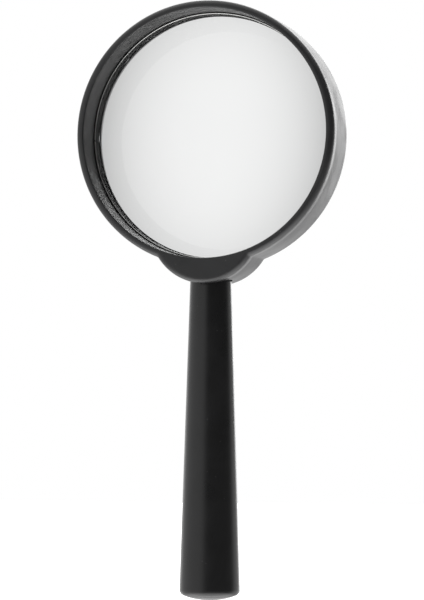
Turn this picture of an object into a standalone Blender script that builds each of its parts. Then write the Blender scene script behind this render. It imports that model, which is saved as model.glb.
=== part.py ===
"""Hand magnifying glass: a deep round plastic rim on a crescent boss, a glass lens held by a thin ring,
and a hollow tapered handle that screws onto a steel stud in the boss.

Metres, +Z up. The glass stands upright: the handle's axis is Z, the lens looks along Y with its hood
towards -Y, and the origin is the centre of the handle's end face.
"""
import math

import bmesh
import bpy

MM = 0.001

# Lens
LENS_DIAMETER = 75.0 * MM
LENS_FACE_RADIUS = 250.0 * MM
LENS_EDGE_THICKNESS = 1.2 * MM
LENS_EDGE_CHAMFER = 0.2 * MM
LENS_CLEARANCE = 0.25 * MM
LENS_RECESS = 0.22 * MM

# Rim and boss, one moulding
RIM_DEPTH = 19.3 * MM
RIM_WALL = 2.35 * MM
LIP_ROUND_WIDTH = 1.6 * MM
LIP_ROUND_DEPTH = 1.9 * MM
LIP_INNER_ROUND = 0.4 * MM
BACK_ROUND = 0.6 * MM
SEAT_LEDGE_WIDTH = 0.85 * MM
SEAT_CHAMFER = 0.3 * MM
BOSS_RADIUS = 16.9 * MM
BOSS_FILLET = 1.2 * MM
SPOT_FACE_DEPTH = 1.5 * MM
POCKET_ROOF = 1.95 * MM

# Retaining ring
RING_WALL = 0.3 * MM
RING_DEPTH = 3.9 * MM
RING_FRONT_CHAMFER = 0.08 * MM
RING_INNER_CHAMFER = 0.2 * MM

# Handle
HANDLE_LENGTH = 96.5 * MM
HANDLE_TOP_RADIUS = 6.25 * MM
HANDLE_END_RADIUS = 9.15 * MM
HANDLE_WALL = 2.6 * MM
HANDLE_TOP_ROUND = 0.5 * MM
HANDLE_END_ROUND = 2.0 * MM
END_DOME_RADIUS = 22.0 * MM
END_FLAT_RADIUS = 2.5 * MM
HOLLOW_TOP_WEB = 8.0 * MM
CORE_HOLE_RADIUS = 2.0 * MM

# Screw joint between the handle and the boss
STUD_RADIUS = 3.0 * MM
STUD_REACH = 8.6 * MM
STUD_TIP_CHAMFER = 0.5 * MM
COLLAR_STEP = 1.4 * MM
COLLAR_HEIGHT = 3.6 * MM
COLLAR_GROOVE_DEPTH = 0.5 * MM
INSERT_WALL = 0.8 * MM
INSERT_LENGTH = 9.4 * MM
INSERT_GROOVE_DEPTH = 0.4 * MM
THREAD_CLEARANCE = 0.2 * MM

# End cap
CAP_LAND_WIDTH = 0.1 * MM
CAP_HEAD_THICKNESS = 1.7 * MM
CAP_SKIRT_LENGTH = 5.6 * MM
CAP_SKIRT_WALL = 1.3 * MM

# Gap between pieces that rest on each other
SEAT_GAP = 0.3 * MM

# Points on curves
RIM_STEPS = 72
BOSS_STEPS = 16
FILLET_STEPS = 3
ROUND_STEPS = 4
LENS_STEPS = 72
LENS_RINGS = 5
HANDLE_STEPS = 48
SMALL_STEPS = 32

# Sizes that follow from the ones above; Y positions are measured from the middle of the rim
LENS_RADIUS = LENS_DIAMETER / 2
HOOD_RADIUS = LENS_RADIUS + LENS_CLEARANCE
RIM_RADIUS = HOOD_RADIUS + RIM_WALL
LENS_SAG = LENS_FACE_RADIUS - math.sqrt(LENS_FACE_RADIUS ** 2 - LENS_RADIUS ** 2)
LIP_Y = -RIM_DEPTH / 2
BACK_Y = RIM_DEPTH / 2
LENS_BACK_EDGE_Y = BACK_Y - LENS_RECESS - LENS_SAG
LENS_FRONT_EDGE_Y = LENS_BACK_EDGE_Y - LENS_EDGE_THICKNESS
SEAT_Y = LENS_BACK_EDGE_Y + SEAT_GAP
SEAT_RADIUS = HOOD_RADIUS - SEAT_LEDGE_WIDTH
SPOT_FACE_HEIGHT = HANDLE_LENGTH + SEAT_GAP
SPOT_FACE_RADIUS = HANDLE_TOP_RADIUS + SEAT_GAP
COLLAR_RADIUS = STUD_RADIUS + COLLAR_STEP
COLLAR_BOTTOM = SPOT_FACE_HEIGHT + SEAT_GAP
COLLAR_TOP = COLLAR_BOTTOM + COLLAR_HEIGHT
POCKET_TOP = COLLAR_TOP + SEAT_GAP
RIM_CENTRE_HEIGHT = POCKET_TOP + POCKET_ROOF + HOOD_RADIUS
BOSS_HEIGHT = SPOT_FACE_HEIGHT - SPOT_FACE_DEPTH + BOSS_RADIUS
BOSS_DROP = RIM_CENTRE_HEIGHT - BOSS_HEIGHT
INSERT_BORE = STUD_RADIUS + THREAD_CLEARANCE
INSERT_RADIUS = INSERT_BORE + INSERT_WALL
INSERT_TOP = HANDLE_LENGTH - SEAT_GAP
INSERT_BOTTOM = INSERT_TOP - INSERT_LENGTH
SOCKET_BOTTOM = INSERT_BOTTOM - SEAT_GAP
SOCKET_RADIUS = INSERT_RADIUS + SEAT_GAP
HOLLOW_TOP = SOCKET_BOTTOM - HOLLOW_TOP_WEB
DOME_CENTRE_HEIGHT = math.sqrt(END_DOME_RADIUS ** 2 - END_FLAT_RADIUS ** 2)
CAP_SEAT_HEIGHT = CAP_HEAD_THICKNESS + SEAT_GAP
CAP_TOP = CAP_SEAT_HEIGHT + CAP_SKIRT_LENGTH


def clear_scene():
    for old in list(bpy.data.objects):
        bpy.data.objects.remove(old, do_unlink=True)


def plastic_or_metal(name, colour, roughness, metallic=0.0, transmission=0.0):
    material = bpy.data.materials.new(name)
    material.use_nodes = True
    shader = material.node_tree.nodes["Principled BSDF"]
    shader.inputs["Base Color"].default_value = (*colour, 1.0)
    shader.inputs["Roughness"].default_value = roughness
    shader.inputs["Metallic"].default_value = metallic
    shader.inputs["Transmission Weight"].default_value = transmission
    return material


def arc(centre, radii, start, end, steps):
    """Points on an arc or ellipse from one angle to another, both ends included."""
    points = []
    for i in range(steps + 1):
        angle = start + (end - start) * i / steps
        points.append((centre[0] + radii[0] * math.cos(angle), centre[1] + radii[1] * math.sin(angle)))
    return points


def circle_loop(radius, height, steps):
    """A ring of points about local Z, or a single point where the radius is zero."""
    if radius == 0.0:
        return [(0.0, 0.0, height)]
    turn = 2 * math.pi / steps
    return [(radius * math.cos(i * turn), radius * math.sin(i * turn), height) for i in range(steps)]


def skin(loops, closed):
    """A closed mesh through loops of points. A closed skin joins its last loop to its first one."""
    bm = bmesh.new()
    rows = [[bm.verts.new(point) for point in loop] for loop in loops]
    pairs = list(zip(rows, rows[1:]))
    if closed:
        pairs.append((rows[-1], rows[0]))
    for low, high in pairs:
        count = max(len(low), len(high))
        for i in range(count):
            j = (i + 1) % count
            corners = [low[i % len(low)], low[j % len(low)], high[j % len(high)], high[i % len(high)]]
            bm.faces.new(list(dict.fromkeys(corners)))
    bmesh.ops.recalc_face_normals(bm, faces=bm.faces)
    return bm


def turned(profile, steps):
    """A solid of revolution about local Z. A profile that starts off the axis is a closed section."""
    closed = profile[0][0] > 0.0
    return skin([circle_loop(radius, height, steps) for radius, height in profile], closed)


def add_piece(name, bm, material, height=0.0, faces_y=False):
    """Turn a mesh into a named object whose origin is on the handle's axis."""
    mesh = bpy.data.meshes.new(name)
    bm.to_mesh(mesh)
    bm.free()
    mesh.materials.append(material)
    mesh.shade_smooth()
    mesh.set_sharp_from_angle(angle=math.radians(35))
    piece = bpy.data.objects.new(name, mesh)
    bpy.context.collection.objects.link(piece)
    piece.location = (0.0, 0.0, height)
    if faces_y:
        piece.rotation_euler = (-math.pi / 2, 0.0, 0.0)
    return piece


def frame_outline(inset):
    """The moulding's outer outline from the front, as (x, z) about the lens centre, moved in by inset.

    Three kinds of arc meet smoothly: the rim, the boss below it, and the two small fillets between them.
    """
    rim_reach = RIM_RADIUS + BOSS_FILLET
    boss_reach = BOSS_RADIUS + BOSS_FILLET
    fillet_z = -(BOSS_DROP ** 2 + rim_reach ** 2 - boss_reach ** 2) / (2 * BOSS_DROP)
    fillet_x = math.sqrt(rim_reach ** 2 - fillet_z ** 2)
    rim_angle = math.atan2(fillet_z, fillet_x)
    boss_angle = math.atan2(fillet_z + BOSS_DROP, fillet_x)
    fillet = BOSS_FILLET + inset
    rim = RIM_RADIUS - inset
    boss = BOSS_RADIUS - inset
    over_top = arc((0.0, 0.0), (rim, rim), rim_angle, math.pi - rim_angle, RIM_STEPS)
    left = arc((-fillet_x, fillet_z), (fillet, fillet), -rim_angle, -boss_angle, FILLET_STEPS)
    under = arc((0.0, -BOSS_DROP), (boss, boss), -math.pi - boss_angle, boss_angle, BOSS_STEPS)
    right = arc((fillet_x, fillet_z), (fillet, fillet), math.pi + boss_angle, math.pi + rim_angle,
                FILLET_STEPS)
    return over_top + left[1:] + under[1:] + right[1:-1]


def build_rim_frame(material):
    angles = [math.atan2(z, x) for x, z in frame_outline(0.0)]

    def outer(inset, y):
        return [(x, y, z) for x, z in frame_outline(inset)]

    def inner(radius, y):
        return [(radius * math.cos(angle), y, radius * math.sin(angle)) for angle in angles]

    loops = []
    hood_edge = (HOOD_RADIUS + LIP_INNER_ROUND, LIP_Y + LIP_INNER_ROUND)
    for radius, y in arc(hood_edge, (LIP_INNER_ROUND,) * 2, -math.pi, -math.pi / 2, ROUND_STEPS // 2):
        loops.append(inner(radius, y))
    lip_edge = (LIP_ROUND_WIDTH, LIP_Y + LIP_ROUND_DEPTH)
    for inset, y in arc(lip_edge, (LIP_ROUND_WIDTH, LIP_ROUND_DEPTH), -math.pi / 2, -math.pi, ROUND_STEPS):
        loops.append(outer(inset, y))
    back_edge = (BACK_ROUND, BACK_Y - BACK_ROUND)
    for inset, y in arc(back_edge, (BACK_ROUND,) * 2, math.pi, math.pi / 2, ROUND_STEPS // 2):
        loops.append(outer(inset, y))
    loops.append(inner(SEAT_RADIUS + SEAT_CHAMFER, BACK_Y))
    loops.append(inner(SEAT_RADIUS, BACK_Y - SEAT_CHAMFER))
    loops.append(inner(SEAT_RADIUS, SEAT_Y))
    loops.append(inner(HOOD_RADIUS, SEAT_Y))
    frame = add_piece("rim_frame", skin(loops, closed=True), material, RIM_CENTRE_HEIGHT)
    cut(frame, build_stud_socket(material))
    return frame


def build_stud_socket(material):
    """Guide solid: the round spot face that the handle seats in, and the pocket of the stud's collar."""
    below_boss = BOSS_HEIGHT - BOSS_RADIUS - HANDLE_TOP_RADIUS
    profile = [
        (0.0, below_boss),
        (SPOT_FACE_RADIUS, below_boss),
        (SPOT_FACE_RADIUS, SPOT_FACE_HEIGHT),
        (COLLAR_RADIUS + SEAT_GAP, SPOT_FACE_HEIGHT),
        (COLLAR_RADIUS + SEAT_GAP, POCKET_TOP),
        (0.0, POCKET_TOP),
    ]
    cutter = add_piece("stud_socket_guide", turned(profile, HANDLE_STEPS), material)
    cutter.hide_render = True
    cutter.display_type = 'WIRE'
    return cutter


def cut(piece, cutter):
    boolean = piece.modifiers.new("Socket", 'BOOLEAN')
    boolean.operation = 'DIFFERENCE'
    boolean.solver = 'EXACT'
    boolean.object = cutter


def lens_face_sag(radius):
    """How far the lens face has fallen back at a radius, measured from its middle."""
    return LENS_FACE_RADIUS - math.sqrt(LENS_FACE_RADIUS ** 2 - radius ** 2)


def build_lens(material):
    flat_radius = LENS_RADIUS - LENS_EDGE_CHAMFER
    radii = [flat_radius * i / LENS_RINGS for i in range(LENS_RINGS + 1)]
    front = [(r, LENS_FRONT_EDGE_Y - LENS_SAG + lens_face_sag(r)) for r in radii]
    back = [(r, LENS_BACK_EDGE_Y + LENS_SAG - lens_face_sag(r)) for r in reversed(radii)]
    rim = [
        (LENS_RADIUS, LENS_FRONT_EDGE_Y + LENS_EDGE_CHAMFER),
        (LENS_RADIUS, LENS_BACK_EDGE_Y - LENS_EDGE_CHAMFER),
    ]
    return add_piece("lens", turned(front + rim + back, LENS_STEPS), material, RIM_CENTRE_HEIGHT, True)


def build_retaining_ring(material):
    rear = LENS_FRONT_EDGE_Y - SEAT_GAP
    front = rear - RING_DEPTH
    outside = LENS_RADIUS
    inside = LENS_RADIUS - RING_WALL
    profile = [
        (outside, rear),
        (inside, rear),
        (inside, front + RING_INNER_CHAMFER),
        (inside + RING_INNER_CHAMFER, front),
        (outside - RING_FRONT_CHAMFER, front),
        (outside, front + RING_FRONT_CHAMFER),
    ]
    return add_piece("retaining_ring", turned(profile, LENS_STEPS), material, RIM_CENTRE_HEIGHT, True)


def build_threaded_stud(material):
    """Steel stud: plain threaded shank below, grooved collar above, measured from the handle's top."""
    shank_bottom = -STUD_REACH
    collar_bottom = COLLAR_BOTTOM - HANDLE_LENGTH
    collar_top = COLLAR_TOP - HANDLE_LENGTH
    groove = COLLAR_RADIUS - COLLAR_GROOVE_DEPTH
    third = COLLAR_HEIGHT / 3
    profile = [
        (0.0, shank_bottom),
        (STUD_RADIUS - STUD_TIP_CHAMFER, shank_bottom),
        (STUD_RADIUS, shank_bottom + STUD_TIP_CHAMFER),
        (STUD_RADIUS, collar_bottom),
        (COLLAR_RADIUS, collar_bottom),
        (COLLAR_RADIUS, collar_bottom + third),
        (groove, collar_bottom + third),
        (groove, collar_top - third),
        (COLLAR_RADIUS, collar_top - third),
        (COLLAR_RADIUS, collar_top),
        (0.0, collar_top),
    ]
    return add_piece("threaded_stud", turned(profile, SMALL_STEPS), material, HANDLE_LENGTH)


def build_handle_insert(material):
    groove = INSERT_RADIUS - INSERT_GROOVE_DEPTH
    third = INSERT_LENGTH / 3
    profile = [
        (INSERT_BORE, INSERT_BOTTOM),
        (INSERT_RADIUS, INSERT_BOTTOM),
        (INSERT_RADIUS, INSERT_BOTTOM + third),
        (groove, INSERT_BOTTOM + third),
        (groove, INSERT_TOP - third),
        (INSERT_RADIUS, INSERT_TOP - third),
        (INSERT_RADIUS, INSERT_TOP),
        (INSERT_BORE, INSERT_TOP),
    ]
    return add_piece("handle_insert", turned(profile, SMALL_STEPS), material)


def dome_height(radius):
    """Height of the domed end face at a radius. Its middle is a flat at height zero."""
    if radius <= END_FLAT_RADIUS:
        return 0.0
    return DOME_CENTRE_HEIGHT - math.sqrt(END_DOME_RADIUS ** 2 - radius ** 2)


def end_round():
    """The rounded corner between the domed end and the handle's side."""
    centre_radius = HANDLE_END_RADIUS - HANDLE_END_ROUND
    reach = END_DOME_RADIUS - HANDLE_END_ROUND
    centre_height = DOME_CENTRE_HEIGHT - math.sqrt(reach ** 2 - centre_radius ** 2)
    dome_angle = math.atan2(centre_height - DOME_CENTRE_HEIGHT, centre_radius)
    return arc((centre_radius, centre_height), (HANDLE_END_ROUND,) * 2, dome_angle, 0.0, ROUND_STEPS)


def handle_radius(height):
    """Outer radius of the handle's straight taper."""
    end = end_round()[-1][1]
    share = (height - end) / (HANDLE_LENGTH - end)
    return HANDLE_END_RADIUS + (HANDLE_TOP_RADIUS - HANDLE_END_RADIUS) * share


def build_handle(material):
    counterbore = cap_recess_radius()
    bore = cap_skirt_radius() + SEAT_GAP
    bore_top = CAP_TOP + SEAT_GAP
    top_round = (HANDLE_TOP_RADIUS - HANDLE_TOP_ROUND, HANDLE_LENGTH - HANDLE_TOP_ROUND)
    outside = [(counterbore, dome_height(counterbore))]
    outside += end_round()
    outside += arc(top_round, (HANDLE_TOP_ROUND,) * 2, 0.0, math.pi / 2, ROUND_STEPS // 2)
    inside = [
        (SOCKET_RADIUS, HANDLE_LENGTH),
        (SOCKET_RADIUS, SOCKET_BOTTOM),
        (CORE_HOLE_RADIUS, SOCKET_BOTTOM),
        (CORE_HOLE_RADIUS, HOLLOW_TOP),
        (handle_radius(HOLLOW_TOP) - HANDLE_WALL, HOLLOW_TOP),
        (bore, bore_top),
        (bore, CAP_SEAT_HEIGHT),
        (counterbore, CAP_SEAT_HEIGHT),
    ]
    return add_piece("handle", turned(outside + inside, HANDLE_STEPS), material)


def cap_recess_radius():
    """Radius of the recess round the end cap's head, which stops just short of the rounded corner."""
    return end_round()[0][0] - CAP_LAND_WIDTH


def cap_skirt_radius():
    """Outer radius of the end cap's skirt, which fills the handle's bore."""
    return handle_radius(CAP_TOP) - HANDLE_WALL - SEAT_GAP


def build_end_cap(material):
    skirt = cap_skirt_radius()
    cup = skirt - CAP_SKIRT_WALL
    head = cap_recess_radius() - SEAT_GAP
    radii = [END_FLAT_RADIUS + (head - END_FLAT_RADIUS) * i / ROUND_STEPS
             for i in range(ROUND_STEPS + 1)]
    profile = [(0.0, 0.0)]
    profile += [(radius, dome_height(radius)) for radius in radii]
    profile += [
        (head, CAP_HEAD_THICKNESS),
        (skirt, CAP_HEAD_THICKNESS),
        (skirt, CAP_TOP),
        (cup, CAP_TOP),
        (cup, CAP_SEAT_HEIGHT),
        (0.0, CAP_SEAT_HEIGHT),
    ]
    return add_piece("end_cap", turned(profile, HANDLE_STEPS), material)


def main():
    clear_scene()
    rim_plastic = plastic_or_metal("rim_black_plastic", (0.022, 0.022, 0.023), 0.42)
    ring_aluminium = plastic_or_metal("ring_black_aluminium", (0.03, 0.03, 0.03), 0.6)
    handle_plastic = plastic_or_metal("handle_black_plastic", (0.014, 0.014, 0.015), 0.36)
    glass = plastic_or_metal("lens_glass", (0.95, 0.97, 0.96), 0.02, transmission=1.0)
    steel = plastic_or_metal("stud_steel", (0.56, 0.56, 0.55), 0.35, metallic=1.0)
    brass = plastic_or_metal("insert_brass", (0.72, 0.52, 0.24), 0.35, metallic=1.0)
    frame = build_rim_frame(rim_plastic)
    lens = build_lens(glass)
    ring = build_retaining_ring(ring_aluminium)
    for piece in (lens, ring):
        piece.parent = frame
        piece.location = (0.0, 0.0, 0.0)
    build_threaded_stud(steel)
    handle = build_handle(handle_plastic)
    build_handle_insert(brass).parent = handle
    build_end_cap(handle_plastic).parent = handle


main()
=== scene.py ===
"""Looks of a hand magnifying glass: a deep black plastic rim on a crescent boss, a glass lens behind a thin
retaining ring, and a tapered black handle that unscrews from the boss.

Metres, +Z up the handle, hood towards -Y. Every piece here is a finer version of the frame's piece that it
stands for, made from the same sizes.
"""
import math

import bmesh
import bpy
from mathutils import Matrix, Vector


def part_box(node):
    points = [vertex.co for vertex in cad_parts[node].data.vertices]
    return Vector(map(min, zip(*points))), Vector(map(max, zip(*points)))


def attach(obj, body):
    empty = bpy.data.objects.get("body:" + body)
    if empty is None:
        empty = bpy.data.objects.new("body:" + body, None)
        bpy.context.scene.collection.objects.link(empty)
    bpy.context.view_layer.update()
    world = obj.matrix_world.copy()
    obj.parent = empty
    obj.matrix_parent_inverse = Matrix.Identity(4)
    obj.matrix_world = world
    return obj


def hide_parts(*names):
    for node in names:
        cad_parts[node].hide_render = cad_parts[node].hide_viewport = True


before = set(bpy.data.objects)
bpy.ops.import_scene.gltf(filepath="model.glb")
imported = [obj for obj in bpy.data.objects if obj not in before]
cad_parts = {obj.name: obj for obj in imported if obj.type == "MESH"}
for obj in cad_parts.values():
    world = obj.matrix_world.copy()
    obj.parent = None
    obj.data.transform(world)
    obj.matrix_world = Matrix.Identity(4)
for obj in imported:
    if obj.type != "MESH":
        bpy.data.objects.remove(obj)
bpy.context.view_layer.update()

MM = 0.001

# Sizes read from the frame
LENS_LOW, LENS_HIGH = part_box("lens")
RING_LOW, RING_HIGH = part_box("retaining_ring")
RIM_LOW, RIM_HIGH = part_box("rim_frame")
STUD_LOW, STUD_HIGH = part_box("threaded_stud")
INSERT_LOW, INSERT_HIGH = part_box("handle_insert")
HANDLE_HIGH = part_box("handle")[1]
CAP_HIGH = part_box("end_cap")[1]
LENS_HEIGHT = (LENS_LOW.z + LENS_HIGH.z) / 2
LENS_RADIUS = (LENS_HIGH.z - LENS_LOW.z) / 2
RIM_RADIUS = RIM_HIGH.z - LENS_HEIGHT
LIP_Y = RIM_LOW.y
BACK_Y = RIM_HIGH.y

# Sizes of the fine shape
LENS_FACE_RADIUS = 250.0 * MM
LENS_EDGE_CHAMFER = 0.2 * MM
RIM_WALL = 2.35 * MM
BOSS_RADIUS = 16.9 * MM
BOSS_FILLET = 1.2 * MM
LIP_ROUND_WIDTH = 1.6 * MM
LIP_ROUND_DEPTH = 1.9 * MM
LIP_INNER_ROUND = 0.4 * MM
BEAD_WIDTH = 2.1 * MM
BEAD_STEP = 0.1 * MM
BACK_ROUND = 0.6 * MM
SEAT_LEDGE_WIDTH = 0.85 * MM
SEAT_CHAMFER = 0.3 * MM
SEAT_GAP = 0.3 * MM
RING_WALL = 0.3 * MM
RING_FRONT_CHAMFER = 0.08 * MM
RING_INNER_CHAMFER = 0.2 * MM
HANDLE_END_RADIUS = 9.15 * MM
HANDLE_TOP_RADIUS = 6.25 * MM
HANDLE_WALL = 2.6 * MM
HANDLE_TOP_ROUND = 0.5 * MM
HANDLE_END_ROUND = 2.0 * MM
END_DOME_RADIUS = 22.0 * MM
END_FLAT_RADIUS = 2.5 * MM
HOLLOW_TOP_WEB = 8.0 * MM
CORE_HOLE_RADIUS = 2.0 * MM
CAP_LAND_WIDTH = 0.1 * MM
CAP_HEAD_THICKNESS = 1.7 * MM
CAP_SKIRT_WALL = 1.3 * MM
STUD_RADIUS = 3.0 * MM
STUD_TIP_CHAMFER = 0.6 * MM
COLLAR_STEP = 1.4 * MM
COLLAR_HEIGHT = 3.6 * MM
COLLAR_GROOVE_DEPTH = 0.5 * MM
INSERT_WALL = 0.8 * MM
INSERT_GROOVE_DEPTH = 0.4 * MM
THREAD_CLEARANCE = 0.2 * MM
THREAD_PITCH = 1.0 * MM
THREAD_DEPTH = 0.55 * MM
KNURL_DEPTH = 0.16 * MM
INSERT_THREAD_DEPTH = 0.12 * MM

HOOD_RADIUS = RIM_RADIUS - RIM_WALL
SEAT_RADIUS = HOOD_RADIUS - SEAT_LEDGE_WIDTH
BOSS_HEIGHT = RIM_LOW.z + BOSS_RADIUS
BOSS_DROP = LENS_HEIGHT - BOSS_HEIGHT
LENS_SAG = LENS_FACE_RADIUS - math.sqrt(LENS_FACE_RADIUS ** 2 - LENS_RADIUS ** 2)
LENS_FRONT_EDGE_Y = LENS_LOW.y + LENS_SAG
LENS_BACK_EDGE_Y = LENS_HIGH.y - LENS_SAG
HANDLE_LENGTH = HANDLE_HIGH.z
SPOT_FACE_HEIGHT = HANDLE_LENGTH + SEAT_GAP
COLLAR_RADIUS = STUD_RADIUS + COLLAR_STEP
INSERT_BORE = STUD_RADIUS + THREAD_CLEARANCE
INSERT_RADIUS = INSERT_BORE + INSERT_WALL
DOME_CENTRE_HEIGHT = math.sqrt(END_DOME_RADIUS ** 2 - END_FLAT_RADIUS ** 2)

# Points on curves
RIM_STEPS = 264
BOSS_STEPS = 72
FILLET_STEPS = 12
ROUND_STEPS = 14
LENS_STEPS = 288
LENS_ROWS = 40
HANDLE_STEPS = 160
SMALL_STEPS = 120


# --- node helpers -----------------------------------------------------------------------------------------

def put(tree, kind, inputs=None, **settings):
    """Add a node. Inputs are given by socket name or number, as a value or as another node's output."""
    node = tree.nodes.new(kind)
    for name, value in settings.items():
        setattr(node, name, value)
    for key, value in (inputs or {}).items():
        feed(tree, node.inputs[key], value)
    return node


def feed(tree, socket, value):
    if isinstance(value, bpy.types.NodeSocket):
        tree.links.new(value, socket)
    elif value is not None:
        socket.default_value = value


def calc(tree, operation, *values, clamp=False):
    """One step of arithmetic on numbers or outputs."""
    node = put(tree, "ShaderNodeMath", operation=operation, use_clamp=clamp)
    for socket, value in zip(node.inputs, values):
        feed(tree, socket, value)
    return node.outputs[0]


def remap(tree, value, low, high, to_low, to_high, smooth=False):
    """Carry a value from one range to another, held at both ends."""
    node = put(tree, "ShaderNodeMapRange", interpolation_type='SMOOTHSTEP' if smooth else 'LINEAR')
    for socket, number in zip(node.inputs, (value, low, high, to_low, to_high)):
        feed(tree, socket, number)
    return node.outputs[0]


def open_group(name, kind, inputs, outputs):
    """A node group with named sockets. Returns the tree, its inputs' outputs, and its output node."""
    tree = bpy.data.node_groups.new(name, kind)
    for label, socket_type, default in inputs:
        socket = tree.interface.new_socket(label, in_out='INPUT', socket_type=socket_type)
        if default is not None:
            socket.default_value = default
    for label, socket_type in outputs:
        tree.interface.new_socket(label, in_out='OUTPUT', socket_type=socket_type)
    entry = tree.nodes.new("NodeGroupInput")
    leave = tree.nodes.new("NodeGroupOutput")
    return tree, entry.outputs, leave


# --- meshes -----------------------------------------------------------------------------------------------

def arc(centre, radii, start, end, steps):
    """Points on an arc or ellipse from one angle to another, both ends included."""
    points = []
    for i in range(steps + 1):
        angle = start + (end - start) * i / steps
        points.append((centre[0] + radii[0] * math.cos(angle), centre[1] + radii[1] * math.sin(angle)))
    return points


def between(start, end, steps):
    """Points on a straight line, both ends included."""
    return [tuple(a + (b - a) * i / steps for a, b in zip(start, end)) for i in range(steps + 1)]


def finish_piece(name, mesh, material, body, node, crease=32.0):
    """Close a mesh's seams, point its faces outwards, and let it stand for a piece of the frame."""
    bm = bmesh.new()
    bm.from_mesh(mesh)
    bmesh.ops.remove_doubles(bm, verts=bm.verts, dist=1e-7)
    bmesh.ops.dissolve_degenerate(bm, edges=bm.edges, dist=1e-8)
    bmesh.ops.recalc_face_normals(bm, faces=bm.faces)
    bm.to_mesh(mesh)
    bm.free()
    mesh.name = name
    mesh.materials.clear()
    mesh.materials.append(material)
    mesh.shade_smooth()
    mesh.set_sharp_from_angle(angle=math.radians(crease))
    piece = bpy.data.objects.new(name, mesh)
    bpy.context.collection.objects.link(piece)
    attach(piece, body)
    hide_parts(node)
    return piece


def make_lathe():
    """Geometry nodes that turn a profile about Z. A profile point carries x as radius and z as height,
    and says how much of a knurl or of a screw thread is cut there."""
    tree, given, leave = open_group("turned_on_lathe", 'GeometryNodeTree', [
        ("Profile", 'NodeSocketGeometry', None),
        ("Steps", 'NodeSocketInt', 96),
        ("Knurl Count", 'NodeSocketFloat', 36.0),
        ("Knurl Depth", 'NodeSocketFloat', 0.0),
        ("Thread Pitch", 'NodeSocketFloat', 0.001),
        ("Thread Depth", 'NodeSocketFloat', 0.0),
        ("Material", 'NodeSocketMaterial', None),
    ], [("Geometry", 'NodeSocketGeometry')])
    tree.is_modifier = True
    size = put(tree, "GeometryNodeAttributeDomainSize", {0: given["Profile"]}, component='MESH')
    rows = size.outputs["Point Count"]
    columns = calc(tree, 'ADD', given["Steps"], 1.0)
    grid = put(tree, "GeometryNodeMeshGrid", {"Vertices X": columns, "Vertices Y": rows})
    index = put(tree, "GeometryNodeInputIndex").outputs[0]
    column = calc(tree, 'FLOOR', calc(tree, 'DIVIDE', calc(tree, 'ADD', index, 0.5), rows))
    row = calc(tree, 'ROUND', calc(tree, 'SUBTRACT', index, calc(tree, 'MULTIPLY', column, rows)))
    turn = calc(tree, 'DIVIDE', column, given["Steps"])

    def from_profile(value, data_type):
        wanted = {"Geometry": given["Profile"], "Value": value, "Index": row}
        return put(tree, "GeometryNodeSampleIndex", wanted, data_type=data_type, domain='POINT').outputs[0]

    def cut_share(name):
        mark = put(tree, "GeometryNodeInputNamedAttribute", {"Name": name}, data_type='FLOAT')
        return from_profile(mark.outputs[0], 'FLOAT')

    place = from_profile(put(tree, "GeometryNodeInputPosition").outputs[0], 'FLOAT_VECTOR')
    part = put(tree, "ShaderNodeSeparateXYZ", {0: place})
    radius, height = part.outputs["X"], part.outputs["Z"]
    tooth = calc(tree, 'PINGPONG', calc(tree, 'MULTIPLY', turn, given["Knurl Count"]), 0.5)
    knurl = calc(tree, 'MULTIPLY', calc(tree, 'MULTIPLY', tooth, 2.0), given["Knurl Depth"])
    wound = calc(tree, 'SUBTRACT', calc(tree, 'DIVIDE', height, given["Thread Pitch"]), turn)
    flank = remap(tree, calc(tree, 'PINGPONG', wound, 0.5), 0.06, 0.44, 0.0, 1.0)
    thread = calc(tree, 'MULTIPLY', flank, given["Thread Depth"])
    radius = calc(tree, 'SUBTRACT', radius, calc(tree, 'MULTIPLY', knurl, cut_share("knurl")))
    radius = calc(tree, 'SUBTRACT', radius, calc(tree, 'MULTIPLY', thread, cut_share("thread")))
    angle = calc(tree, 'MULTIPLY', turn, 2 * math.pi)
    spot = put(tree, "ShaderNodeCombineXYZ", {
        "X": calc(tree, 'MULTIPLY', radius, calc(tree, 'COSINE', angle)),
        "Y": calc(tree, 'MULTIPLY', radius, calc(tree, 'SINE', angle)),
        "Z": height,
    })
    moved = put(tree, "GeometryNodeSetPosition", {"Geometry": grid.outputs["Mesh"],
                                                  "Position": spot.outputs[0]})
    closed = put(tree, "GeometryNodeMergeByDistance", {"Geometry": moved.outputs[0], "Distance": 1e-7})
    whole = put(tree, "GeometryNodeRealizeInstances", {0: closed.outputs[0]})
    painted = put(tree, "GeometryNodeSetMaterial", {"Geometry": whole.outputs[0],
                                                    "Material": given["Material"]})
    tree.links.new(painted.outputs[0], leave.inputs[0])
    return tree


def plain_row(radius, height):
    return (radius, height, 0.0, 0.0)


def turned_mesh(lathe, profile, steps, material, **cuts):
    """Turn a profile of (radius, height) or (radius, height, knurl, thread) rows on the lathe."""
    rows = [tuple(row) if len(row) == 4 else plain_row(*row) for row in profile]
    blank = bpy.data.meshes.new("profile")
    links = [(i, i + 1) for i in range(len(rows) - 1)]
    blank.from_pydata([(row[0], 0.0, row[1]) for row in rows], links, [])
    for place, name in ((2, "knurl"), (3, "thread")):
        mark = blank.attributes.new(name, 'FLOAT', 'POINT')
        mark.data.foreach_set("value", [row[place] for row in rows])
    holder = bpy.data.objects.new("profile", blank)
    bpy.context.collection.objects.link(holder)
    turning = holder.modifiers.new("Turning", 'NODES')
    turning.node_group = lathe
    wanted = {"Steps": steps, "Material": material, **{name.replace("_", " ").title(): size
                                                       for name, size in cuts.items()}}
    for socket in lathe.interface.items_tree:
        if socket.in_out == 'INPUT' and socket.name in wanted:
            turning[socket.identifier] = wanted[socket.name]
    graph = bpy.context.evaluated_depsgraph_get()
    mesh = bpy.data.meshes.new_from_object(holder.evaluated_get(graph))
    holder.modifiers.remove(turning)
    bpy.data.objects.remove(holder)
    return mesh


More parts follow.
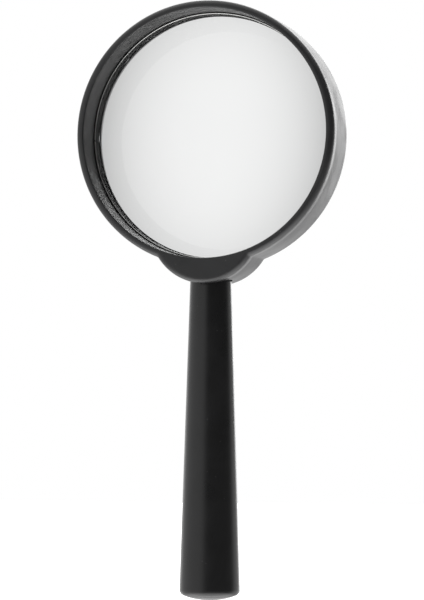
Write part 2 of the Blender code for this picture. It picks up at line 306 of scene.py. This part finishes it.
# Turned shapes lie along Z; this stands one upright behind the hood, its Z along the lens axis.
LENS_PLACE = Matrix.Translation((0.0, 0.0, LENS_HEIGHT)) @ Matrix.Rotation(math.radians(-90), 4, 'X')


# --- the rim moulding -------------------------------------------------------------------------------------

def frame_outline(inset):
    """The moulding's outer outline from the front, as (x, z) about the lens centre, moved in by inset."""
    rim_reach = RIM_RADIUS + BOSS_FILLET
    boss_reach = BOSS_RADIUS + BOSS_FILLET
    fillet_z = -(BOSS_DROP ** 2 + rim_reach ** 2 - boss_reach ** 2) / (2 * BOSS_DROP)
    fillet_x = math.sqrt(rim_reach ** 2 - fillet_z ** 2)
    rim_angle = math.atan2(fillet_z, fillet_x)
    boss_angle = math.atan2(fillet_z + BOSS_DROP, fillet_x)
    fillet = BOSS_FILLET + inset
    rim = RIM_RADIUS - inset
    boss = BOSS_RADIUS - inset
    over_top = arc((0.0, 0.0), (rim, rim), rim_angle, math.pi - rim_angle, RIM_STEPS)
    left = arc((-fillet_x, fillet_z), (fillet, fillet), -rim_angle, -boss_angle, FILLET_STEPS)
    under = arc((0.0, -BOSS_DROP), (boss, boss), -math.pi - boss_angle, boss_angle, BOSS_STEPS)
    right = arc((fillet_x, fillet_z), (fillet, fillet), math.pi + boss_angle, math.pi + rim_angle,
                FILLET_STEPS)
    return over_top + left[1:] + under[1:] + right[1:-1]


def rim_section():
    """The moulding's section as (kind, inset or radius, y), from the mouth round the outside to the seat."""
    section = []
    mouth = (HOOD_RADIUS + LIP_INNER_ROUND, LIP_Y + LIP_INNER_ROUND)
    section += [("bore", r, y) for r, y in arc(mouth, (LIP_INNER_ROUND,) * 2, -math.pi, -math.pi / 2, 6)]
    lip = (LIP_ROUND_WIDTH, LIP_Y + LIP_ROUND_DEPTH)
    lip_round = arc(lip, (LIP_ROUND_WIDTH, LIP_ROUND_DEPTH), -math.pi / 2, -math.pi, ROUND_STEPS)
    section += [("outside", i, y) for i, y in lip_round]
    bead_end = LIP_Y + LIP_ROUND_DEPTH + BEAD_WIDTH
    section.append(("outside", 0.0, bead_end))
    section.append(("outside", 0.25 * BEAD_STEP, bead_end + 0.08 * MM))
    section.append(("outside", 0.85 * BEAD_STEP, bead_end + 0.22 * MM))
    wall_start, wall_end = bead_end + 0.3 * MM, BACK_Y - BACK_ROUND
    middle = wall_start + 0.55 * (wall_end - wall_start)
    for i in range(13):
        y = wall_start + (wall_end - wall_start) * i / 12
        section.append(("outside", BEAD_STEP * ((y - middle) / (middle - wall_start)) ** 2, y))
    back_inset = section[-1][1]
    back = (BACK_ROUND + back_inset, wall_end)
    section += [("outside", i, y) for i, y in arc(back, (BACK_ROUND,) * 2, math.pi, math.pi / 2, 6)[1:]]
    seat_y = LENS_BACK_EDGE_Y + SEAT_GAP
    section += [("bore", SEAT_RADIUS + SEAT_CHAMFER, BACK_Y), ("bore", SEAT_RADIUS, BACK_Y - SEAT_CHAMFER)]
    section += [("bore", SEAT_RADIUS, seat_y), ("bore", HOOD_RADIUS, seat_y)]
    section += [("bore", HOOD_RADIUS, y) for y, in between((seat_y,), (LIP_Y + LIP_INNER_ROUND,), 8)[1:-1]]
    return section


def build_rim(lathe, material):
    angles = [math.atan2(z, x) for x, z in frame_outline(0.0)]
    bm = bmesh.new()
    rows = []
    for kind, size, y in rim_section():
        if kind == "bore":
            loop = [(size * math.cos(angle), size * math.sin(angle)) for angle in angles]
        else:
            loop = frame_outline(size)
        rows.append([bm.verts.new((x, y, z + LENS_HEIGHT)) for x, z in loop])
    for row, after in zip(rows, rows[1:] + rows[:1]):
        for i in range(len(row)):
            j = (i + 1) % len(row)
            bm.faces.new((row[i], row[j], after[j], after[i]))
    bmesh.ops.recalc_face_normals(bm, faces=bm.faces)
    solid = bpy.data.meshes.new("rim")
    bm.to_mesh(solid)
    bm.free()
    return finish_piece("rim_moulding", socket_cut(lathe, solid, material), material, "head", "rim_frame")


def socket_cut(lathe, solid, material):
    """Cut the spot face that the handle seats in, and the pocket of the stud's collar."""
    below = RIM_LOW.z - HANDLE_TOP_RADIUS
    spot, pocket = HANDLE_TOP_RADIUS + SEAT_GAP, COLLAR_RADIUS + SEAT_GAP
    pocket_top = STUD_HIGH.z + SEAT_GAP
    cutter_mesh = turned_mesh(lathe, [(0.0, below), (spot, below), (spot, SPOT_FACE_HEIGHT),
                                      (pocket, SPOT_FACE_HEIGHT), (pocket, pocket_top), (0.0, pocket_top)],
                              SMALL_STEPS, material)
    bm = bmesh.new()
    bm.from_mesh(cutter_mesh)
    bmesh.ops.recalc_face_normals(bm, faces=bm.faces)
    bm.to_mesh(cutter_mesh)
    bm.free()
    blank = bpy.data.objects.new("rim_blank", solid)
    cutter = bpy.data.objects.new("socket_cutter", cutter_mesh)
    for shape in (blank, cutter):
        bpy.context.collection.objects.link(shape)
    cut = blank.modifiers.new("Socket", 'BOOLEAN')
    cut.operation = 'DIFFERENCE'
    cut.solver = 'EXACT'
    cut.object = cutter
    graph = bpy.context.evaluated_depsgraph_get()
    mesh = bpy.data.meshes.new_from_object(blank.evaluated_get(graph))
    blank.modifiers.remove(cut)
    for shape in (blank, cutter):
        bpy.data.objects.remove(shape)
    return mesh


# --- the lens and its ring --------------------------------------------------------------------------------

def lens_face_sag(radius):
    return LENS_FACE_RADIUS - math.sqrt(LENS_FACE_RADIUS ** 2 - radius ** 2)


def build_lens(lathe, material):
    flat = LENS_RADIUS - LENS_EDGE_CHAMFER
    radii = [flat * i / LENS_ROWS for i in range(LENS_ROWS + 1)]
    front = [(r, LENS_LOW.y + lens_face_sag(r)) for r in radii]
    back = [(r, LENS_HIGH.y - lens_face_sag(r)) for r in reversed(radii)]
    edge = [(LENS_RADIUS, LENS_FRONT_EDGE_Y + LENS_EDGE_CHAMFER),
            (LENS_RADIUS, LENS_BACK_EDGE_Y - LENS_EDGE_CHAMFER)]
    mesh = turned_mesh(lathe, front + edge + back, LENS_STEPS, material)
    mesh.transform(LENS_PLACE)
    return finish_piece("lens_disc", mesh, material, "head", "lens")


def build_ring(lathe, material):
    rear, front = RING_HIGH.y, RING_LOW.y
    outside, inside = LENS_RADIUS, LENS_RADIUS - RING_WALL
    section = [(outside, rear), (inside, rear)]
    section += arc((inside + RING_INNER_CHAMFER, front + RING_INNER_CHAMFER), (RING_INNER_CHAMFER,) * 2,
                   -math.pi, -math.pi / 2, 8)
    section += arc((outside - RING_FRONT_CHAMFER, front + RING_FRONT_CHAMFER), (RING_FRONT_CHAMFER,) * 2,
                   -math.pi / 2, 0.0, 4)
    mesh = turned_mesh(lathe, section + section[:1], LENS_STEPS, material)
    mesh.transform(LENS_PLACE)
    return finish_piece("lens_retaining_ring", mesh, material, "head", "retaining_ring")


# --- the handle and its end cap ---------------------------------------------------------------------------

def dome_height(radius):
    """Height of the domed end face at a radius. Its middle is a flat at height zero."""
    if radius <= END_FLAT_RADIUS:
        return 0.0
    return DOME_CENTRE_HEIGHT - math.sqrt(END_DOME_RADIUS ** 2 - radius ** 2)


def end_round():
    """The rounded corner between the domed end and the handle's side."""
    centre_radius = HANDLE_END_RADIUS - HANDLE_END_ROUND
    reach = END_DOME_RADIUS - HANDLE_END_ROUND
    centre_height = DOME_CENTRE_HEIGHT - math.sqrt(reach ** 2 - centre_radius ** 2)
    dome_angle = math.atan2(centre_height - DOME_CENTRE_HEIGHT, centre_radius)
    return arc((centre_radius, centre_height), (HANDLE_END_ROUND,) * 2, dome_angle, 0.0, ROUND_STEPS)


def handle_radius(height):
    end = end_round()[-1][1]
    share = (height - end) / (HANDLE_LENGTH - end)
    return HANDLE_END_RADIUS + (HANDLE_TOP_RADIUS - HANDLE_END_RADIUS) * share


def cap_recess_radius():
    return end_round()[0][0] - CAP_LAND_WIDTH


def build_handle(lathe, material):
    recess = cap_recess_radius()
    bore = handle_radius(CAP_HIGH.z) - HANDLE_WALL
    bore_top = CAP_HIGH.z + SEAT_GAP
    cap_seat = CAP_HEAD_THICKNESS + SEAT_GAP
    socket = INSERT_RADIUS + SEAT_GAP
    socket_bottom = INSERT_LOW.z - SEAT_GAP
    hollow_top = socket_bottom - HOLLOW_TOP_WEB
    foot = end_round()
    top = (HANDLE_TOP_RADIUS - HANDLE_TOP_ROUND, HANDLE_LENGTH - HANDLE_TOP_ROUND)
    shoulder = arc(top, (HANDLE_TOP_ROUND,) * 2, 0.0, math.pi / 2, 8)
    profile = [(recess, dome_height(recess))] + foot + between(foot[-1], shoulder[0], 60)[1:-1] + shoulder
    profile += [(socket, HANDLE_LENGTH), (socket, socket_bottom), (CORE_HOLE_RADIUS, socket_bottom)]
    profile += [(CORE_HOLE_RADIUS, hollow_top), (handle_radius(hollow_top) - HANDLE_WALL, hollow_top)]
    profile += [(bore, bore_top), (bore, cap_seat), (recess, cap_seat)]
    mesh = turned_mesh(lathe, profile + profile[:1], HANDLE_STEPS, material)
    return finish_piece("handle_moulding", mesh, material, "grip", "handle")


def build_end_cap(lathe, material):
    skirt = handle_radius(CAP_HIGH.z) - HANDLE_WALL - SEAT_GAP
    cup = skirt - CAP_SKIRT_WALL
    head = cap_recess_radius() - SEAT_GAP
    edge = 0.2 * MM
    face = [(0.0, 0.0)]
    face += [(r, dome_height(r)) for r, in between((END_FLAT_RADIUS,), (head - edge,), 16)]
    face += [(head - 0.3 * edge, dome_height(head - edge) + 0.4 * edge), (head, dome_height(head) + edge)]
    top = CAP_HIGH.z
    profile = face + [(head, CAP_HEAD_THICKNESS), (skirt, CAP_HEAD_THICKNESS), (skirt, top - edge),
                      (skirt - edge, top), (cup, top), (cup, CAP_HEAD_THICKNESS + SEAT_GAP),
                      (0.0, CAP_HEAD_THICKNESS + SEAT_GAP)]
    mesh = turned_mesh(lathe, profile, HANDLE_STEPS, material)
    return finish_piece("end_cap_plug", mesh, material, "grip", "end_cap")


# --- the screw joint --------------------------------------------------------------------------------------

def build_stud(lathe, material):
    """Steel stud: a screw thread below, and above it two knurled bands that the boss is moulded round."""
    bottom, top = STUD_LOW.z, STUD_HIGH.z
    collar_bottom = top - COLLAR_HEIGHT
    tip = STUD_RADIUS - STUD_TIP_CHAMFER
    neck = STUD_RADIUS - THREAD_DEPTH
    profile = [(0.0, bottom), (tip, bottom)]
    profile += threaded(STUD_RADIUS, bottom + STUD_TIP_CHAMFER, collar_bottom - 0.9 * MM, 84)
    profile += [(neck, collar_bottom - 0.6 * MM), (neck, collar_bottom)]
    profile += [(COLLAR_RADIUS - 0.2 * MM, collar_bottom)]
    profile += banded(COLLAR_RADIUS, COLLAR_GROOVE_DEPTH, collar_bottom, top)
    profile += [(COLLAR_RADIUS - 0.2 * MM, top), (0.0, top)]
    mesh = turned_mesh(lathe, profile, SMALL_STEPS * 2, material, knurl_count=40.0, knurl_depth=KNURL_DEPTH,
                       thread_pitch=THREAD_PITCH, thread_depth=THREAD_DEPTH)
    return finish_piece("stud_with_thread", mesh, material, "stud", "threaded_stud")


def threaded(radius, start, end, steps):
    """Rows of a screw thread that runs out over its first and last four rows."""
    rows = between((start,), (end,), steps)
    return [(radius, z, 0.0, min(1.0, i / 4, (len(rows) - 1 - i) / 4)) for i, (z,) in enumerate(rows)]


def banded(radius, groove_depth, bottom, top):
    """Rows of a knurled outside with a groove round its middle third."""
    third = (top - bottom) / 3
    edge = 0.2 * MM
    groove = radius - groove_depth
    low, high = bottom + third, top - third
    return [
        (radius, bottom + edge, 1.0, 0.0), (radius, low - edge, 1.0, 0.0), (groove, low), (groove, high),
        (radius, high + edge, 1.0, 0.0), (radius, top - edge, 1.0, 0.0),
    ]


def build_insert(lathe, material):
    bottom, top = INSERT_LOW.z, INSERT_HIGH.z
    edge = 0.25 * MM
    profile = [(INSERT_RADIUS - edge, bottom)]
    profile += banded(INSERT_RADIUS, INSERT_GROOVE_DEPTH, bottom, top)
    profile += [(INSERT_RADIUS - edge, top), (INSERT_BORE + edge, top)]
    profile += threaded(INSERT_BORE, top - 2 * edge, bottom + 2 * edge, 90)
    profile += [(INSERT_BORE + edge, bottom)]
    mesh = turned_mesh(lathe, profile + profile[:1], SMALL_STEPS * 2, material, knurl_count=44.0,
                       knurl_depth=KNURL_DEPTH, thread_pitch=THREAD_PITCH, thread_depth=-INSERT_THREAD_DEPTH)
    return finish_piece("insert_with_knurl", mesh, material, "grip", "handle_insert")


# --- finishes ---------------------------------------------------------------------------------------------

HOOD_GREY = (0.022, 0.022, 0.022)
HOOD_GRAIN_SHARE = 0.25
DUST_GREY = (0.35, 0.34, 0.33, 1.0)


def make_mould_grain():
    """Fine spark-eroded grain of a mould, with slow flow marks."""
    tree, given, leave = open_group("mould_grain", 'ShaderNodeTree', [
        ("Vector", 'NodeSocketVector', None),
        ("Grain Size", 'NodeSocketFloat', 0.0003),
        ("Flow Size", 'NodeSocketFloat', 0.012),
    ], [("Height", 'NodeSocketFloat'), ("Tone", 'NodeSocketFloat')])
    fine = put(tree, "ShaderNodeTexNoise", {"Vector": given["Vector"], "Detail": 2.0, "Roughness": 0.6,
                                            "Scale": calc(tree, 'DIVIDE', 1.0, given["Grain Size"])})
    slow = put(tree, "ShaderNodeTexNoise", {"Vector": given["Vector"], "Detail": 3.0, "Roughness": 0.55,
                                            "Distortion": 0.8,
                                            "Scale": calc(tree, 'DIVIDE', 1.0, given["Flow Size"])})
    height = calc(tree, 'ADD', fine.outputs[0], calc(tree, 'MULTIPLY', slow.outputs[0], 0.5))
    feed(tree, leave.inputs["Height"], height)
    feed(tree, leave.inputs["Tone"], remap(tree, slow.outputs[0], 0.3, 0.7, 0.0, 1.0, smooth=True))
    return tree


def make_handling():
    """Hairline scuffs and a little settled dust."""
    tree, given, leave = open_group("handling_marks", 'ShaderNodeTree', [
        ("Vector", 'NodeSocketVector', None),
        ("Scuff Length", 'NodeSocketFloat', 0.01),
        ("Dust Size", 'NodeSocketFloat', 0.0012),
    ], [("Scuffs", 'NodeSocketFloat'), ("Dust", 'NodeSocketFloat')])
    stretched = put(tree, "ShaderNodeMapping", {"Vector": given["Vector"], "Rotation": (0.5, 0.3, 0.9),
                                                "Scale": (1.0, 18.0, 3.0)})
    hair = put(tree, "ShaderNodeTexNoise", {"Vector": stretched.outputs[0], "Detail": 4.0, "Roughness": 0.7,
                                            "Scale": calc(tree, 'DIVIDE', 1.0, given["Scuff Length"])})
    patch = put(tree, "ShaderNodeTexNoise", {"Vector": given["Vector"], "Detail": 2.0,
                                             "Scale": calc(tree, 'DIVIDE', 0.35, given["Scuff Length"])})
    lines = remap(tree, hair.outputs[0], 0.62, 0.74, 0.0, 1.0)
    where = remap(tree, patch.outputs[0], 0.48, 0.66, 0.0, 1.0, smooth=True)
    speck = put(tree, "ShaderNodeTexVoronoi", {"Vector": given["Vector"],
                                               "Scale": calc(tree, 'DIVIDE', 1.0, given["Dust Size"])})
    kept = put(tree, "ShaderNodeSeparateColor", {0: speck.outputs["Color"]})
    dust = calc(tree, 'MULTIPLY', remap(tree, speck.outputs["Distance"], 0.05, 0.11, 1.0, 0.0),
                remap(tree, kept.outputs[0], 0.93, 0.94, 0.0, 1.0))
    feed(tree, leave.inputs["Scuffs"], calc(tree, 'MULTIPLY', lines, where))
    feed(tree, leave.inputs["Dust"], dust)
    return tree


def new_material(name, **plain):
    """A material whose plain values are set on the shader's own sockets."""
    material = bpy.data.materials.new(name)
    material.use_nodes = True
    tree = material.node_tree
    shader = tree.nodes["Principled BSDF"]
    for label, value in plain.items():
        shader.inputs[label.replace("_", " ").title().replace("Ior", "IOR")].default_value = value
    place = put(tree, "ShaderNodeTexCoord").outputs["Object"]
    return material, tree, shader, place


def use_group(tree, group, **inputs):
    node = put(tree, "ShaderNodeGroup", node_tree=group)
    for label, value in inputs.items():
        feed(tree, node.inputs[label.replace("_", " ").title()], value)
    return node.outputs


def mix_colour(tree, share, first, second):
    node = put(tree, "ShaderNodeMix", data_type='RGBA')
    for socket, value in ((node.inputs[0], share), (node.inputs[6], first), (node.inputs[7], second)):
        feed(tree, socket, value)
    return node.outputs[2]


def make_hood_inside():
    """A mask: one inside the hood, where the moulding is matt, and nothing outside it."""
    tree, given, leave = open_group("hood_inside", 'ShaderNodeTree', [
        ("Vector", 'NodeSocketVector', None),
        ("Axis Height", 'NodeSocketFloat', 0.14),
        ("Hood Radius", 'NodeSocketFloat', 0.038),
    ], [("Mask", 'NodeSocketFloat')])
    part = put(tree, "ShaderNodeSeparateXYZ", {0: given["Vector"]}).outputs
    up = calc(tree, 'SUBTRACT', part["Z"], given["Axis Height"])
    radius = calc(tree, 'SQRT', calc(tree, 'ADD', calc(tree, 'MULTIPLY', part["X"], part["X"]),
                                     calc(tree, 'MULTIPLY', up, up)))
    feed(tree, leave.inputs["Mask"], calc(tree, 'LESS_THAN', radius, given["Hood Radius"]))
    return tree


def moulded_plastic(name, groups, colour, worn, gloss, grain_size, grain_depth, dust=0.35, matt=None):
    """Black moulded plastic. Gloss is the roughness from its shiniest to its dullest patch; matt is the
    roughness inside the hood, where the piece has one."""
    material, tree, shader, place = new_material(name, IOR=1.5)
    grain = use_group(tree, groups["grain"], Vector=place, grain_size=grain_size)
    marks = use_group(tree, groups["marks"], Vector=place)
    base = mix_colour(tree, calc(tree, 'MULTIPLY', grain["Tone"], 0.5), (*colour, 1.0), (*worn, 1.0))
    base = mix_colour(tree, calc(tree, 'MULTIPLY', marks["Scuffs"], 0.5), base, (*worn, 1.0))
    base = mix_colour(tree, calc(tree, 'MULTIPLY', marks["Dust"], dust), base, DUST_GREY)
    rough = remap(tree, grain["Tone"], 0.0, 1.0, *gloss)
    rough = calc(tree, 'ADD', rough, calc(tree, 'MULTIPLY', marks["Scuffs"], 0.08))
    height = grain["Height"]
    if matt is not None:
        inside = use_group(tree, groups["inside"], Vector=place, axis_height=LENS_HEIGHT,
                           hood_radius=HOOD_RADIUS + 0.06 * MM)["Mask"]
        rough = calc(tree, 'ADD', rough, calc(tree, 'MULTIPLY', inside, matt - gloss[0]))
        base = mix_colour(tree, inside, base, (*HOOD_GREY, 1.0))
        height = calc(tree, 'MULTIPLY', height, remap(tree, inside, 0.0, 1.0, 1.0, HOOD_GRAIN_SHARE))
    bump = put(tree, "ShaderNodeBump", {"Height": height, "Distance": grain_depth, "Strength": 1.0})
    feed(tree, shader.inputs["Base Color"], base)
    feed(tree, shader.inputs["Roughness"], rough)
    feed(tree, shader.inputs["Normal"], bump.outputs[0])
    return material


def turned_metal(name, groups, colour, dull, gloss, mark_spacing):
    """Machined metal with the fine rings that a turning tool leaves."""
    material, tree, shader, place = new_material(name, Metallic=1.0)
    grain = use_group(tree, groups["grain"], Vector=place, grain_size=0.0004)
    marks = use_group(tree, groups["marks"], Vector=place, scuff_length=0.003)
    height = put(tree, "ShaderNodeSeparateXYZ", {0: place}).outputs["Z"]
    rings = calc(tree, 'SINE', calc(tree, 'MULTIPLY', height, 2 * math.pi / mark_spacing))
    base = mix_colour(tree, grain["Tone"], (*colour, 1.0), (*dull, 1.0))
    rough = remap(tree, grain["Tone"], 0.0, 1.0, *gloss)
    surface = calc(tree, 'ADD', calc(tree, 'MULTIPLY', rings, 0.5), grain["Height"])
    bump = put(tree, "ShaderNodeBump", {"Height": surface, "Distance": 4e-6, "Strength": 1.0})
    feed(tree, shader.inputs["Base Color"], base)
    rough = calc(tree, 'ADD', rough, calc(tree, 'MULTIPLY', marks["Scuffs"], 0.1))
    feed(tree, shader.inputs["Roughness"], rough)
    feed(tree, shader.inputs["Normal"], bump.outputs[0])
    return material


def ring_finish(name, groups):
    """Black anodised metal, with the bevel at its front inner edge cut bright after the colour went on."""
    material, tree, shader, place = new_material(name, IOR=1.5, specular_ior_level=0.12)
    grain = use_group(tree, groups["grain"], Vector=place, grain_size=0.0004)
    marks = use_group(tree, groups["marks"], Vector=place, scuff_length=0.004)
    depth = put(tree, "ShaderNodeSeparateXYZ", {0: place}).outputs["Y"]
    bright = remap(tree, depth, RING_LOW.y + RING_INNER_CHAMFER, RING_LOW.y + 0.8 * RING_INNER_CHAMFER,
                   0.0, 1.0)
    black = mix_colour(tree, calc(tree, 'MULTIPLY', grain["Tone"], 0.5), (0.008, 0.008, 0.008, 1.0),
                       (0.014, 0.014, 0.014, 1.0))
    base = mix_colour(tree, bright, black, (0.62, 0.62, 0.61, 1.0))
    rough = remap(tree, grain["Tone"], 0.0, 1.0, 0.55, 0.65)
    rough = calc(tree, 'SUBTRACT', rough, calc(tree, 'MULTIPLY', bright, 0.3))
    bump = put(tree, "ShaderNodeBump", {"Height": grain["Height"], "Distance": 1e-6, "Strength": 1.0})
    feed(tree, shader.inputs["Base Color"], base)
    feed(tree, shader.inputs["Metallic"], bright)
    rough = calc(tree, 'ADD', rough, calc(tree, 'MULTIPLY', marks["Scuffs"], 0.1))
    feed(tree, shader.inputs["Roughness"], rough)
    feed(tree, shader.inputs["Normal"], bump.outputs[0])
    return material


def polished_glass(name, groups):
    """Clear optical glass with a trace of wiping marks."""
    material, tree, shader, place = new_material(name, IOR=1.52, transmission_weight=1.0)
    marks = use_group(tree, groups["marks"], Vector=place, scuff_length=0.02, dust_size=0.0016)
    grain = use_group(tree, groups["grain"], Vector=place, flow_size=0.02)
    base = mix_colour(tree, calc(tree, 'MULTIPLY', marks["Dust"], 0.25), (0.985, 0.99, 0.988, 1.0),
                      (0.8, 0.8, 0.79, 1.0))
    smear = calc(tree, 'MULTIPLY', calc(tree, 'MULTIPLY', marks["Scuffs"], grain["Tone"]), 0.03)
    feed(tree, shader.inputs["Base Color"], base)
    feed(tree, shader.inputs["Roughness"], smear)
    return material


# --- studio -----------------------------------------------------------------------------------------------

CAMERA_DISTANCE = 0.9
CAMERA_TURN = math.radians(14.952)
CAMERA_RISE = math.radians(2.352)
CAMERA_ROLL = math.radians(0.202)
CAMERA_AIM = 90.598 * MM
CAMERA_ASIDE = 0.37 * MM
CAMERA_LENS = 178.16
FLOOR_HEIGHT = -0.14
FLOOR_SIZE = 12.0


def direction(turn, rise):
    """A direction: turn to the right of straight behind the object, rise above the horizon, in degrees."""
    turn, rise = math.radians(turn), math.radians(rise)
    return Vector((math.sin(turn) * math.cos(rise), math.cos(turn) * math.cos(rise), math.sin(rise)))


def build_camera():
    level = math.cos(CAMERA_RISE)
    ahead = Vector((-math.sin(CAMERA_TURN) * level, math.cos(CAMERA_TURN) * level, math.sin(CAMERA_RISE)))
    right = Vector((math.cos(CAMERA_TURN), math.sin(CAMERA_TURN), 0.0))
    up = right.cross(ahead)
    across = right * math.cos(CAMERA_ROLL) + up * math.sin(CAMERA_ROLL)
    upwards = up * math.cos(CAMERA_ROLL) - right * math.sin(CAMERA_ROLL)
    place = Vector((0.0, 0.0, CAMERA_AIM)) - ahead * CAMERA_DISTANCE + right * CAMERA_ASIDE
    camera = bpy.data.objects.new("camera", bpy.data.cameras.new("camera"))
    bpy.context.collection.objects.link(camera)
    camera.data.lens = CAMERA_LENS
    camera.data.sensor_width = 36.0
    camera.matrix_world = Matrix.Translation(place) @ Matrix((across, upwards, -ahead)).transposed().to_4x4()
    bpy.context.scene.camera = camera


# Soft white cards round the object: turn and rise of the middle, half width of the even part,
# half width with its soft edge, and brightness.
CARDS = (
    (-18.0, 4.0, 20.0, 44.0, 0.72),
    (9.0, 3.0, 7.0, 13.0, 2.3),
    (7.0, -12.0, 6.0, 14.0, 0.55),
    (0.0, 28.0, 15.0, 30.0, 2.2),
    (-18.0, -20.0, 10.0, 22.0, 0.4),
    (-103.0, 8.0, 54.0, 80.0, 0.66),
    (44.0, -16.0, 12.0, 30.0, 0.8),
    (0.0, 84.0, 20.0, 58.0, 1.1),
    (10.0, -88.0, 28.0, 62.0, 2.5),
)
ROOM_BRIGHTNESS = 0.11
LOW_BRIGHTNESS = 0.22
LOW_LIGHT_TOP = 0.06
LOW_LIGHT_FULL = -0.22

# The backdrop as the glass shows it: brightest at its middle, fading outwards over an oval
SHEET_DIRECTION = direction(-14.9, 5.4)
SHEET_ACROSS = direction(75.1, 0.0)
SHEET_HALF_WIDTH = 0.115
SHEET_HALF_HEIGHT = 0.155
SHEET_BRIGHTNESS = 0.92
SHEET_FADE = 0.29
SHEET_FADE_POWER = 1.5
SHEET_LEAST = 0.6


def build_world():
    """White surroundings as the camera sees them, also through the glass; soft cards for everything else."""
    world = bpy.data.worlds.new("studio")
    bpy.context.scene.world = world
    world.use_nodes = True
    tree = world.node_tree
    tree.nodes.clear()
    way = put(tree, "ShaderNodeTexCoord").outputs["Generated"]

    def towards(axis):
        product = put(tree, "ShaderNodeVectorMath", {0: way, 1: tuple(axis)}, operation='DOT_PRODUCT')
        return product.outputs["Value"]

    height = put(tree, "ShaderNodeSeparateXYZ", {0: way}).outputs["Z"]
    glow = remap(tree, height, LOW_LIGHT_TOP, LOW_LIGHT_FULL, ROOM_BRIGHTNESS,
                 ROOM_BRIGHTNESS + LOW_BRIGHTNESS, smooth=True)
    for turn, rise, inner, outer, value in CARDS:
        card = remap(tree, towards(direction(turn, rise)), math.cos(math.radians(outer)),
                     math.cos(math.radians(inner)), 0.0, value, smooth=True)
        glow = calc(tree, 'ADD', card, glow)
    path = put(tree, "ShaderNodeLightPath").outputs
    through_glass = calc(tree, 'MULTIPLY', path["Is Transmission Ray"],
                         calc(tree, 'LESS_THAN', path["Glossy Depth"], 0.5))
    aside = calc(tree, 'DIVIDE', towards(SHEET_ACROSS), SHEET_HALF_WIDTH)
    above = calc(tree, 'DIVIDE', calc(tree, 'SUBTRACT', height, SHEET_DIRECTION.z), SHEET_HALF_HEIGHT)
    reach = calc(tree, 'ADD', calc(tree, 'MULTIPLY', aside, aside), calc(tree, 'MULTIPLY', above, above))
    fade = calc(tree, 'MULTIPLY', calc(tree, 'POWER', reach, SHEET_FADE_POWER), SHEET_FADE)
    sheet = calc(tree, 'MAXIMUM', calc(tree, 'SUBTRACT', SHEET_BRIGHTNESS, fade), SHEET_LEAST)
    seen = calc(tree, 'ADD', path["Is Camera Ray"], calc(tree, 'MULTIPLY', through_glass, sheet))
    direct = calc(tree, 'MAXIMUM', path["Is Camera Ray"], through_glass)
    rest = calc(tree, 'SUBTRACT', 1.0, direct, clamp=True)
    strength = calc(tree, 'ADD', seen, calc(tree, 'MULTIPLY', rest, glow))
    light = put(tree, "ShaderNodeBackground", {"Color": (1.0, 1.0, 1.0, 1.0), "Strength": strength})
    put(tree, "ShaderNodeOutputWorld", {"Surface": light.outputs[0]})


def build_floor():
    """A plain pale floor, well below the held object, so brightly lit that it runs into the background."""
    half = FLOOR_SIZE / 2
    mesh = bpy.data.meshes.new("floor")
    mesh.from_pydata([(-half, -half, FLOOR_HEIGHT), (half, -half, FLOOR_HEIGHT), (half, half, FLOOR_HEIGHT),
                      (-half, half, FLOOR_HEIGHT)], [], [(0, 1, 2, 3)])
    material, tree, shader, place = new_material("pale_floor", roughness=0.9)
    shader.inputs["Base Color"].default_value = (0.8, 0.8, 0.8, 1.0)
    shader.inputs["Emission Color"].default_value = (1.0, 1.0, 1.0, 1.0)
    shader.inputs["Emission Strength"].default_value = 1.0
    mesh.materials.append(material)
    floor = bpy.data.objects.new("floor", mesh)
    bpy.context.collection.objects.link(floor)
    floor.visible_glossy = False
    floor.visible_diffuse = False
    floor.visible_transmission = False


def main():
    groups = {"grain": make_mould_grain(), "marks": make_handling(), "inside": make_hood_inside()}
    rim_plastic = moulded_plastic("rim_satin_black", groups, (0.020, 0.020, 0.021), (0.034, 0.034, 0.035),
                                  (0.36, 0.44), 0.0005, 3.5e-6, matt=0.5)
    handle_plastic = moulded_plastic("handle_smooth_black", groups, (0.010, 0.010, 0.0105),
                                     (0.016, 0.016, 0.017), (0.27, 0.33), 0.0004, 2.5e-6)
    ring_black = ring_finish("ring_bright_bevel", groups)
    steel = turned_metal("stud_turned_steel", groups, (0.58, 0.57, 0.55), (0.40, 0.39, 0.38),
                         (0.22, 0.4), 0.00012)
    brass = turned_metal("insert_turned_brass", groups, (0.75, 0.56, 0.27), (0.5, 0.36, 0.16),
                         (0.22, 0.4), 0.00012)
    glass = polished_glass("lens_clear_glass", groups)
    lathe = make_lathe()
    build_camera()
    build_rim(lathe, rim_plastic)
    build_lens(lathe, glass)
    build_ring(lathe, ring_black)
    build_stud(lathe, steel)
    build_insert(lathe, brass)
    build_handle(lathe, handle_plastic)
    build_end_cap(lathe, handle_plastic)
    build_world()
    build_floor()
    bpy.context.scene.view_settings.view_transform = 'Standard'


main()
